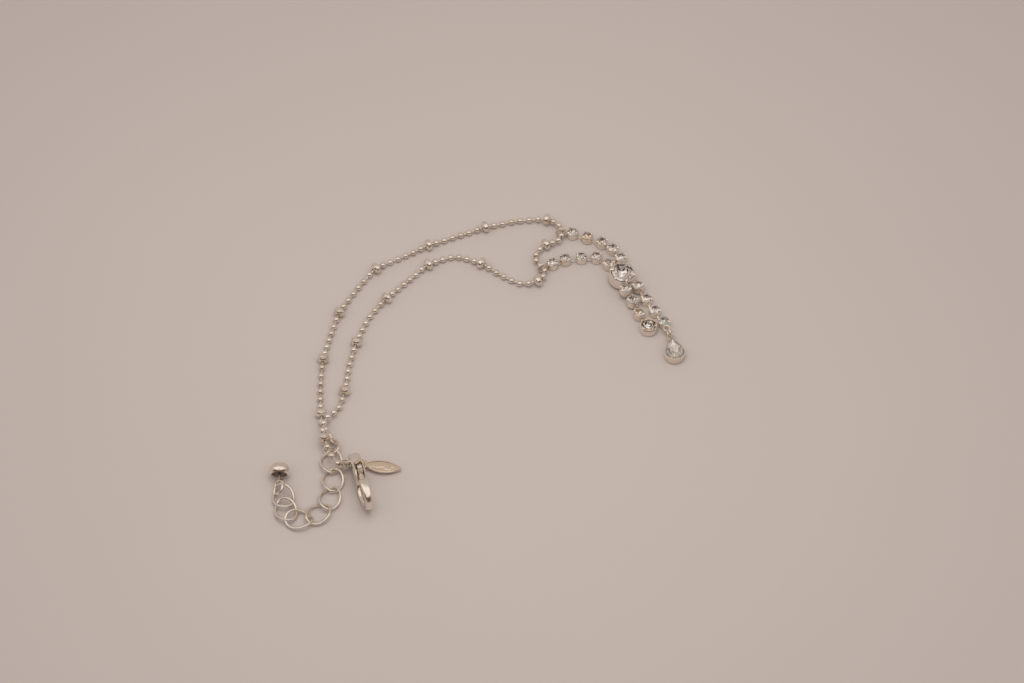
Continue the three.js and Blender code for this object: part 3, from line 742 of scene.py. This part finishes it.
ARM_LOOP = 1.25
EYE = 0.8
EYE_HEIGHT = 1.6
BIG_CUP = {"radius": 3.0, "height": 3.1, "wall": 0.3, "floor": 0.45, "claws": 6, "rise": 0.5, "sides": 60}
BIG_APEX = 1.3  # the large stone's point above its cup's foot
END_CUP_RADIUS = 2.05
END_CUP_HEIGHT = 1.8
END_APEX = 0.75

cup, bar = claw_cup(**CUP), link_bar()
small_stone = cut_stone(**SMALL_STONE)
small_girdle = CUP["height"] - STONE_DROP
big_foot, big_axis = seat_of("big_stone", BIG_APEX)
end_foot, end_axis = seat_of("end_stone", END_APEX)
seats = {}
for row, count in ROWS.items():
    seats[row] = [seat_of(f"{row}_stone_{i + 1}", CUP_APEX) for i in range(count)]
    for i, (foot, axis) in enumerate(seats[row]):
        ahead = seats[row][min(i + 1, count - 1)][0] - seats[row][max(i - 1, 0)][0]
        roll = math.atan2(ahead.y, ahead.x) + math.pi / 4
        name = f"{row}_cup_{i + 1}"
        keep(copy_of(cup, name, along_z(foot, axis, roll)), "silver", ROW_NODES[row])
        set_stone(small_stone, f"{row}_stone_{i + 1}", foot, axis, small_girdle, fire.uniform(0, 1))


def toward(start, target, stop):
    """The point reached from start towards target, level, ending a distance short of it."""
    level = Vector((target.x, target.y, start.z)) - start
    return start + level * (1 - stop / level.length)


def row_bars(row):
    """The bars between a row's cups."""
    places = [foot + axis * BAR_HEIGHT for foot, axis in seats[row]]
    return [bar_between(bar, a, b) for a, b in zip(places, places[1:])]


def row_end(row, index, target=big_foot, radius=BIG_CUP["radius"]):
    """The bar from a row's end cup to the larger cup that it is soldered to."""
    foot, axis = seats[row][index]
    start = foot + axis * BAR_HEIGHT
    return bar_between(bar, start, toward(start, target, radius + 0.05))


arm_ring = wire_ring(ARM_LOOP, EYE_WIRE)
for row in ("upper", "lower"):
    first = seats[row][0][0]
    necks = [((a + b) / 2, b - a) for (a, _), (b, _) in zip(balls, balls[1:])]
    neck, run = min(necks, key=lambda n: (n[0] - first).xy.length)
    made = row_bars(row) + [
        row_end(row, -1),
        copy_of(arm_ring, "loop", along_z(neck, run)),
    ]
    keep(joined(f"{row}_arm_bars", made), "silver", ROW_NODES[row])

ring_low, ring_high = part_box("drop_ring")
ring_middle = (ring_low + ring_high) / 2 / MM
last = seats["long"][-1][0]
drop_out = Vector((ring_middle.x - last.x, ring_middle.y - last.y, 0)).normalized()
drop_eye = Vector((last.x, last.y, EYE_HEIGHT)) + drop_out * (CUP["radius"] + EYE - 0.1)
eye_ring = wire_ring(EYE, EYE_WIRE, 24)
made = row_bars("long") + [
    row_end("long", 0),
    copy_of(eye_ring, "eye", along_z(drop_eye, (0, 0, 1))),
]
keep(joined("long_drop_bars", made), "silver", "long_drop")
made = row_bars("short") + [
    row_end("short", 0),
    row_end("short", -1, end_foot, END_CUP_RADIUS),
]
keep(joined("short_drop_bars", made), "silver", "short_drop")
discard(cup, bar, small_stone, arm_ring)


# ---- Large setting --------------------------------------------------------------------------
# The large round stone in the middle, in a deep pressed cup with six claws. The arms and drops
# are soldered to its wall. Silver plated brass, as the cup chain is.

big_cup = claw_cup(**BIG_CUP)
big_stone = cut_stone(**BIG_STONE)
keep(copy_of(big_cup, "big_cup_pressed", along_z(big_foot, big_axis, 0.5)), "silver", "big_cup")
set_stone(big_stone, "big_stone", big_foot, big_axis, BIG_CUP["height"] - STONE_DROP, 0.2)
discard(big_cup, big_stone)


# ---- End setting of the short drop ----------------------------------------------------------
# A medium round stone in a plain bezel: a smooth turned cup whose thick rim is rubbed down over
# the stone's edge. It ends the short drop.

def bezel_cup(radius, height, wall, floor, sides=36):
    """A smooth cup about +Z with a rounded foot and a rim that leans in over the stone."""
    cup = cup_blank(radius, height, sides, 0.14)
    push((0, 0, 0.1), 0.985)
    push((0, 0, 0.12), 0.95)
    inset((wall, 0))
    push((0, 0, -0.14))
    push((0, 0, floor - height))
    return finish_pattern(cup, 50)


# The end stone's foil is tinted with painted amber fire only.
END_PAINTED_FIRE = [0.8, 0.2, 0, 0]  # its foil shows amber only
END_LARGEST = 1.5
end_cup = bezel_cup(END_CUP_RADIUS, END_CUP_HEIGHT, wall=0.17, floor=0.35)
end_stone = cut_stone(**END_STONE)
keep(copy_of(end_cup, "end_cup_turned", along_z(end_foot, end_axis)), "silver", "end_cup")
set_stone(end_stone, "end_stone", end_foot, end_axis, END_CUP_HEIGHT - STONE_DROP, 0.4, END_PAINTED_FIRE, END_LARGEST)
discard(end_cup, end_stone)


# ---- Pear drop ------------------------------------------------------------------------------
# A pear-shaped stone in a pressed pear cup that hangs point up from a small jump ring at the long
# drop's end. The stone is a faceted pear of foiled crystal.

PEAR_WIDTH = 4.7
PEAR_LENGTH = 6.3
PEAR_HEIGHT = 2.0
PEAR_TIP = 0.5  # radius of its blunt tip
PEAR_DEPTH = 1.4  # of its hollow
PEAR_CROWN = 0.8
PEAR_PAVILION = 0.95
PEAR_SEAT = 0.24  # from the cup's outline in to the stone's
PEAR_STONE_ROUND = 1.75  # radius of the stone solid's round end


def pear_frame():
    """The pear's own placing matrix: its round end's middle, with +Y towards its point."""
    points = solid_points("pear_stone")
    middle = sum(points, Vector()) / len(points)
    tip = min(points, key=lambda p: (p - ring_middle).xy.length)
    axis = Vector((tip.x - middle.x, tip.y - middle.y, 0)).normalized()
    back = min((p - middle).dot(axis) for p in points)
    round_middle = middle + axis * (back + PEAR_STONE_ROUND)
    turn = Matrix.Rotation(math.atan2(-axis.x, axis.y), 4, "Z")
    return placed((round_middle.x, round_middle.y, 0), turn)


def arc(centre, radii, start, end, count):
    """Points on an elliptical arc, from one angle to another in degrees."""
    angles = [math.radians(start + (end - start) * i / count) for i in range(count + 1)]
    return [(centre[0] + radii[0] * math.cos(a), centre[1] + radii[1] * math.sin(a)) for a in angles]


def bow(a, b, c, count=6):
    """Points on the curve from a to c that bends towards b, without its start."""
    shares = [(i + 1) / count for i in range(count)]
    return [
        tuple((1 - t) ** 2 * p + 2 * (1 - t) * t * q + t ** 2 * r for p, q, r in zip(a, b, c))
        for t in shares
    ]


def plate(name, outline, thickness, rounding):
    """A plate with this outline, centred on z = 0, with its edges rounded in steps."""
    mesh = bpy.data.meshes.new(name)
    half = thickness / 2 - sum(rise for _, rise in rounding)
    mesh.from_pydata([(x, y, -half) for x, y in outline], [], [list(range(len(outline)))])
    piece = bpy.data.objects.new(name, mesh)
    bpy.context.scene.collection.objects.link(piece)
    piece.select_set(True)
    choose(piece, all_over)
    push((0, 0, 2 * half))
    bpy.ops.mesh.select_all(action="SELECT")
    bpy.ops.mesh.normals_make_consistent(inside=False)
    choose(piece, at_ends)
    inset(*rounding)
    bpy.ops.object.mode_set(mode="OBJECT")
    return piece


def pear_outline(inside):
    """The pear's outline, or one that far inside it: a round end at the origin, straight flanks and a
    blunt tip towards +Y."""
    radius = PEAR_WIDTH / 2 - inside
    blunt = PEAR_TIP - 0.6 * inside
    tip = PEAR_LENGTH - PEAR_WIDTH / 2 - inside - blunt
    lean = math.degrees(math.asin((radius - blunt) / tip))
    round_end = arc((0, 0), (radius, radius), 180 - lean, 360 + lean, 30)
    return round_end + arc((0, tip), (blunt, blunt), lean, 180 - lean, 10)


def pear_cup():
    """The pear's pressed cup, on its flat back."""
    cup = plate("pear", pear_outline(0), PEAR_HEIGHT, [])
    cup.location.z = PEAR_HEIGHT / 2
    settled()
    round_rim(cup, underneath, 0.3, 3)
    choose(cup, on_top)
    inset((0.06, 0.06), (0.12, 0.01), (0.04, -0.06))
    push((0, 0, -PEAR_DEPTH))
    return finish_pattern(cup, 50)


PEAR_FACETS = 14
# Each round of facets. Columns: tilt in degrees, how its slip counts, 1 if it stands between the
# main facets, how far inside the outline, height, and whether it is on the back.
PEAR_ROUNDS = [
    (52, 1, 0, 0.0, 0.08, False), (34, 0, 1, 0.42, 0.52, False), (20, -1, 0, 0.95, 0.76, False),
    (27, 1, 0, 0.0, -0.2, True), (14, -1, 1, 0.9, -0.66, True),
]


def pear_stone():
    """The faceted pear, girdle at zero: its facets are ground square to its outline."""
    outline = pear_outline(PEAR_SEAT)
    stone = plate("pear", outline, PEAR_CROWN + PEAR_PAVILION, [])
    stone.location.z = (PEAR_CROWN - PEAR_PAVILION) / 2
    settled()
    bpy.ops.object.mode_set(mode="EDIT")
    for i in range(PEAR_FACETS):
        slip = cutting.uniform(-0.05, 0.05)
        for tilt, share, between, inside, height, below in PEAR_ROUNDS:
            turn = math.pi / 2 + 2 * math.pi * i / PEAR_FACETS + between * math.pi / PEAR_FACETS
            reach = max(x * math.cos(turn) + y * math.sin(turn) for x, y in outline)
            grind(math.radians(tilt) + share * slip, turn, (reach - inside, height), below)
    return polished(stone, crystal_glass("milky lead crystal glass", 0.03, 0.82, "#FFFBF7"))


PEAR_AT = pear_frame()
pear_eye_place = Vector((0, PEAR_LENGTH - PEAR_WIDTH / 2 + EYE - 0.35, EYE_HEIGHT))
cup, stone = pear_cup(), pear_stone()
made = [copy_of(cup, "cup", PEAR_AT), copy_of(eye_ring, "eye", PEAR_AT @ Matrix.Translation(pear_eye_place))]
keep(joined("pear_cup_pressed", made), "silver", "pear_cup")
pear = copy_of(stone, "pear_stone_cut", PEAR_AT @ Matrix.Translation((0, 0, PEAR_HEIGHT - 0.1)))
foil_back(pear, Vector((0, 0, 1)), [1, 0, 0, 0], 0)
keep(pear, "rhinestone", "pear_stone")
discard(cup, stone, eye_ring)


# ---- Jump rings -----------------------------------------------------------------------------
# Small rings of round drawn wire, closed to a butt seam and plated: one holds the pear, one ends
# the extender at the ball chain, and one carries the clasp and the tag.

WIRE = 0.65
RINGS = {"drop_ring": (1.3, EYE_WIRE), "end_ring": (1.85, WIRE), "clasp_ring": (2.0, WIRE)}


def lie_of(node):
    """How a node lies: its middle and its own directions, longest first, read from its solid."""
    points = numpy.array([tuple(p) for p in solid_points(node)])
    middle = points.mean(axis=0)
    _, directions = numpy.linalg.eigh(numpy.cov((points - middle).T))
    longest, across, thin = (Vector(directions[:, k]) for k in (2, 1, 0))
    if longest.cross(across).dot(thin) < 0:
        thin.negate()
    return Vector(middle), longest, across, thin


def own_place(node):
    """The placing matrix for a piece modelled with its length along X and its width along Y."""
    middle, longest, across, thin = lie_of(node)
    return placed(middle, Matrix((longest, across, thin)).transposed().to_4x4())


for node, (radius, size) in RINGS.items():
    middle, _, _, thin = lie_of(node)
    ring = wire_ring(radius, size, 40, 12)
    keep(copy_of(ring, node + "_wire", along_z(middle, thin, 2.2)), "silver", node)
    discard(ring)


# ---- Extender chain -------------------------------------------------------------------------
# Seven curb links of round drawn wire, each an oval twisted between its ends so that the chain
# lies flat, closed to a butt seam and plated bright.

LINK_LENGTH = 6.5
LINK_WIDTH = 5.2
LINK_TWIST = math.radians(28)
LINKS = 7


def curb_link():
    """One link, its length along X, twisted from end to end. Known fault: its twist turns the other
    way from the CAD link's, so links that hang together cut through each other."""
    bpy.ops.curve.primitive_bezier_circle_add(radius=1.0)
    link = bpy.context.object
    link.scale = ((LINK_LENGTH - WIRE) / 2, (LINK_WIDTH - WIRE) / 2, 1)
    bpy.ops.object.transform_apply(scale=True)
    for point in link.data.splines[0].bezier_points:
        point.radius = 1.0
    link.data.resolution_u = 14
    link.data.bevel_depth = WIRE / 2
    link.data.bevel_resolution = 4
    bpy.ops.object.convert(target="MESH")
    reach = LINK_LENGTH / (LINK_LENGTH - WIRE)
    use_modifier(link, "SIMPLE_DEFORM", deform_method="TWIST", deform_axis="X", angle=-2 * LINK_TWIST * reach)
    choose(link, lambda middle, normal: middle.x < 0 and 0 < middle.y < 0.2)
    inset((0.02, -0.03))
    return finish_pattern(link, 50)


link = curb_link()
for i in range(LINKS):
    node = f"extender_link_{i + 1}"
    keep(copy_of(link, node + "_wire", own_place(node)), "silver", node)
discard(link)


# ---- End bead -------------------------------------------------------------------------------
# The extender's end weight: a bright bell-shaped bead, spun hollow from thin brass, with its
# dark mouth towards the chain. A head pin runs through it and ends in an eye.

BEAD_RADIUS = 2.35
BEAD_THICKNESS = 3.5
MOUTH = 1.1  # from the bead's middle
BEAD_WALL = 0.18
PIN = 0.6
PIN_HEAD = 0.6
PIN_BELOW = 0.7  # how far its shank reaches out of the bead
PIN_EYE = 1.6
PIN_NECK = 0.65


def unplated_brass():
    """The bell's inside, which plating hardly reaches: brass gone matt, greyish and uneven, so that
    the mouth mirrors nothing."""
    material, tree, place, surface = new_material("oxidised brass", {"Roughness": 0.7})
    clouds = noise(tree, place, 900.0, Detail=3.0)
    connect(tree, surface, {"Base Color": mottled(tree, clouds, ("#B0A7A3", "#C4BCB8"))})
    return material


def bell_bead():
    """The bead about +Z, its mouth at -Z."""
    bead = sphere(40, 28, BEAD_RADIUS)
    bpy.ops.object.mode_set(mode="EDIT")
    bpy.ops.mesh.select_all(action="SELECT")
    resize(1, 1, BEAD_THICKNESS / 2 / BEAD_RADIUS)
    bpy.ops.mesh.bisect(plane_co=(0, 0, -MOUTH), plane_no=(0, 0, -1), clear_outer=True, threshold=1e-5)
    choose(bead, lambda middle, normal: middle.z > 0 and middle.xy.length < 0.3)
    bpy.ops.mesh.delete(type="FACE")
    bead.data.materials.append(SILVER)
    bead.data.materials.append(unplated_brass())
    use_modifier(bead, "SOLIDIFY", thickness=BEAD_WALL, offset=-1, material_offset=1)
    round_edges(bead, 0.05, 50)
    return finish_pattern(bead, 45)


# Duller plate for the pin's shank, its colour darkened to grey-brown: painted shade for where it runs inside
# the bell's mouth.
PIN_PAINTED_SHADE = silver_plate("silver plate darkened for painted shade", 0.00001, 0.3, ("#A89A8C", "#8A7A6C"))


def head_pin():
    """The pin about +Z through the bead: a domed head, the wire, and its eye below the mouth."""
    half = BEAD_THICKNESS / 2
    sphere(18, 12, PIN_HEAD, (0, 0, half))
    head = settled()
    choose(head, all_over)
    resize(1, 1, 0.3, about=(0, 0, half))
    finish_pattern(head, 50)
    cylinder(12, PIN / 2, 2 * half + PIN_BELOW, (0, 0, -PIN_BELOW / 2))
    shank = settled()
    round_rim(shank, at_ends, 0.08, 2)
    # The shank's darker grey-brown colour is painted shade.
    finish_pattern(shank, 50, PIN_PAINTED_SHADE)
    return head, shank


_, bead_axis, _, _ = lie_of("end_pin")
if bead_axis.y < 0:
    bead_axis.negate()
bead_low, bead_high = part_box("end_bead")
bead_middle = (bead_low + bead_high) / 2 / MM
bead_middle.y = bead_high.y / MM - bead_axis.y * math.hypot(BEAD_THICKNESS / 2, BEAD_RADIUS * bead_axis.z)
bead_middle.z = bead_low.z / MM + BEAD_RADIUS
bead = bell_bead()
keep(copy_of(bead, "end_bead_bell", along_z(bead_middle, bead_axis)), "silver", "end_bead")
discard(bead)
head, shank = head_pin()
eye = wire_ring(PIN_EYE, PIN, 32, 12)
eye_middle = bead_middle - bead_axis * (BEAD_THICKNESS / 2 + PIN_NECK + PIN_EYE)
tilt = math.asin(bead_axis.z)
eye_axis = Matrix.Rotation(tilt, 3, "X") @ Vector((-0.8, 0, 0.62))
made = [copy_of(part, "part", along_z(bead_middle, bead_axis)) for part in (head, shank)]
made.append(copy_of(eye, "eye", along_z(eye_middle, eye_axis)))
keep(joined("end_pin_wire", made), "silver", "end_pin")
discard(head, shank, eye)


# ---- Lobster clasp --------------------------------------------------------------------------
# A small cast lobster clasp, barrelled smooth and plated: a claw with an eye at its other end, and
# a lever that turns on a rivet in a slot. The spring inside the body that holds it shut is not modelled.

CLASP_THICKNESS = 2.4
CLASP_EYE = 1.9
CLASP_HOLE = 1.0
PIVOT = Vector((3.3, 1.0, 0))
CLAW = (8.1, 0.05)
CLAW_OUTER = (4.7, 3.9)
CLAW_INNER = (2.8, 2.3)
LEVER_THICKNESS = 1.0
LEVER_SLOT = 1.7
LEVER_HUB = 1.15
LEVER_BORE = 0.55
RIVET = 0.4
CLASP_HEADING = math.radians(-73)
CLASP_RISE = math.radians(1.8)
CLASP_LEAN = math.radians(3)


def clasp_frame():
    """The clasp's placing matrix: X from the eye to the claw, Y to the lever's side."""
    turn = (Matrix.Rotation(CLASP_HEADING, 4, "Z") @ Matrix.Rotation(-CLASP_RISE, 4, "Y")
            @ Matrix.Rotation(math.pi / 2 - CLASP_LEAN, 4, "X"))
    pivot = Vector(frame["joints"][0]["pos_m"]) / MM
    return placed(pivot, turn) @ Matrix.Translation(-PIVOT)


def cut_away(piece, cutter):
    """Cuts one piece's shape out of another and removes the cutter."""
    use_modifier(piece, "BOOLEAN", operation="DIFFERENCE", solver="EXACT", object=cutter)
    bpy.data.objects.remove(cutter)


# Where along the body it thins again, and the share of its thickness that it keeps there.
CLAW_TAPER = [
    (6.6, 0.98), (7.4, 0.96), (8.2, 0.95), (9.0, 0.94),
    (9.8, 0.92), (10.6, 0.9), (11.4, 0.88), (12.1, 0.86),
]
BODY_ROUNDING = [(0.03, 0.22), (0.06, 0.2), (0.1, 0.16), (0.12, 0.1)]  # each step's width and rise
LEVER_ROUNDING = [(0.04, 0.1), (0.08, 0.05)]


def clasp_body():
    """The cast body: the eye, the waist with the lever's slot, and the open claw."""
    cx, cy = CLAW
    outline = arc((0, 0), (CLASP_EYE, CLASP_EYE), 75, 290, 18)
    outline += bow(outline[-1], (3.2, -2.3), (5.2, -3.2))
    outline += arc((cx, cy), CLAW_OUTER, 232, 440, 32)
    outline += bow(outline[-1], (7.5, 3.85), (6.9, 2.8))
    outline += bow(outline[-1], (7.9, 2.6), (8.8, 2.25), 4)
    outline += arc((cx + 0.3, cy), CLAW_INNER, 78, -195, 26)
    outline += [(5.5, 2.2)] + bow((5.5, 2.2), (4.0, 3.0), (2.4, 2.7))
    spaced = [p for i, p in enumerate(outline) if math.dist(p, outline[i - 1]) > 0.08]
    body = plate("clasp", spaced, CLASP_THICKNESS, BODY_ROUNDING)
    cut_away(body, cylinder(32, CLASP_HOLE, 4))
    bpy.ops.mesh.primitive_cube_add(size=1.0, location=(4.4, 1.9, 0))
    slot = bpy.context.object
    slot.scale = (5.2, 4.4, LEVER_SLOT)
    cut_away(body, slot)
    round_edges(body, 0.09, 50)
    for start, share in CLAW_TAPER:
        choose(body, all_over)
        bpy.ops.mesh.bisect(plane_co=(start, 0, 0), plane_no=(1, 0, 0))
        choose(body, lambda middle, normal: middle.x > start)
        resize(1, 1, share)
    return finish_pattern(body, 40)


def rivet():
    """The rivet through the body, its two heads hammered to low domes."""
    pin = cylinder(24, RIVET, CLASP_THICKNESS - 0.1)
    choose(pin, at_ends)
    inset((0.1, 0.08), (0.15, 0.05))
    return finish_pattern(pin, 60)


def clasp_lever():
    """The lever: a round hub on the rivet, a thumb knob, and a tongue that shuts the claw."""
    px, py = PIVOT.xy
    outline = arc((px, py), (LEVER_HUB, LEVER_HUB), 140, 300, 12)
    outline += [(5.2, 1.0), (7.7, 1.75), (7.1, 2.35), (5.3, 2.3), (4.7, 3.1)]
    outline += arc((4.1, 3.3), (0.6, 0.6), 0, 180, 8) + [(3.1, 2.3)]
    lever = plate("lever", outline, LEVER_THICKNESS, LEVER_ROUNDING)
    cut_away(lever, cylinder(20, LEVER_BORE, 3, (px, py, 0)))
    return finish_pattern(lever, 40)


CLASP_AT = clasp_frame()
body, pin, lever = clasp_body(), rivet(), clasp_lever()
made = [copy_of(body, "body", CLASP_AT), copy_of(pin, "pin", CLASP_AT @ Matrix.Translation(PIVOT))]
keep(joined("clasp_body_cast", made), "silver", "clasp_body")
keep(copy_of(lever, "clasp_lever_cast", CLASP_AT), "silver", "clasp_lever", body="lever")
discard(body, pin, lever)


# ---- Leaf tag -------------------------------------------------------------------------------
# A small pointed leaf tag stamped from brass sheet and silver plated, on the clasp's ring by its
# eye. It has a raised rim round a softly hammered field, which bears low bosses and nothing else.

TAG_LENGTH = 9.0
TAG_WIDTH = 2.9
TAG_SHOULDER = 0.45  # half its width where the blade leaves the eye
TAG_POINT = 0.12
TAG_THICKNESS = 0.5
TAG_EYE = 1.4
TAG_HOLE = 0.9
TAG_BOSSES = 9
BOSS_SMALLEST = 0.32
BOSS_SWELL = 0.22  # how much larger they are in the middle of the row
BOSS_FIRST = 1.1  # from where the blade starts
BOSS_ROW = 2.4  # how much shorter the row is than the blade
hammer = random.Random(3)
# Plate over a hammered field: strong soft waves break up what it mirrors, and its tone is warmer.
HAMMERED = silver_plate("hammered silver plate", 0.0003, 0.2, ("#F6E6D2", "#E9D2B8"))


def leaf_tag():
    """The tag from its eye at the origin towards +X: a blade with a raised rim, its bosses, and its
    flat eye."""
    start = TAG_EYE * 0.8
    middle = (start + TAG_LENGTH) / 2
    side = [(start, TAG_SHOULDER)]
    side += bow(side[0], (middle, TAG_WIDTH - 0.15), (TAG_LENGTH, TAG_POINT), 24)
    outline = side + [(x, -y) for x, y in side[::-1]]
    blade = plate("tag", outline, TAG_THICKNESS, [(0.04, 0.05)])
    choose(blade, lambda place, normal: normal.z > 0.9 and place.z > 0.24)
    for rise, shorter, narrower in ((0.05, 0.99, 0.94), (0.0, 0.98, 0.9), (-0.12, 0.985, 0.93)):
        push((0, 0, rise))
        resize(shorter, narrower, 1, about=(middle, 0, 0))
    pieces = [finish_pattern(blade, 40, HAMMERED)]
    for i in range(TAG_BOSSES):
        x = start + BOSS_FIRST + (TAG_LENGTH - start - BOSS_ROW) * i / (TAG_BOSSES - 1)
        size = BOSS_SMALLEST + BOSS_SWELL * math.sin(math.pi * (i + 0.5) / TAG_BOSSES)
        place = (x, hammer.uniform(-0.25, 0.25) * TAG_WIDTH / 2, 0.12)
        boss = sphere(16, 8, size, place)
        choose(boss, all_over)
        resize(1, 1, 0.3, about=place)
        pieces.append(finish_pattern(boss, 60, HAMMERED))
    bpy.ops.mesh.primitive_cylinder_add(vertices=36, radius=TAG_EYE, depth=TAG_THICKNESS * 0.96,
                                        end_fill_type="NOTHING")
    eye = bpy.context.object
    use_modifier(eye, "SOLIDIFY", thickness=TAG_EYE - TAG_HOLE, offset=-1)
    round_edges(eye, 0.06)
    return joined("tag", pieces + [finish_pattern(eye, 40, HAMMERED)])


def tag_place():
    """The tag's placing matrix, from its solid: the eye end first, the raised side up."""
    middle, longest, _, thin = lie_of("leaf_tag")
    if longest.x < 0:
        longest.negate()
    if thin.z < 0:
        thin.negate()
    far = max((p - middle).dot(longest) for p in solid_points("leaf_tag"))
    turn = Matrix((longest, thin.cross(longest), thin)).transposed().to_4x4()
    return placed(middle + longest * (far - TAG_LENGTH), turn)


tag = leaf_tag()
keep(copy_of(tag, "leaf_tag_stamped", tag_place()), "silver", "leaf_tag")
discard(tag)
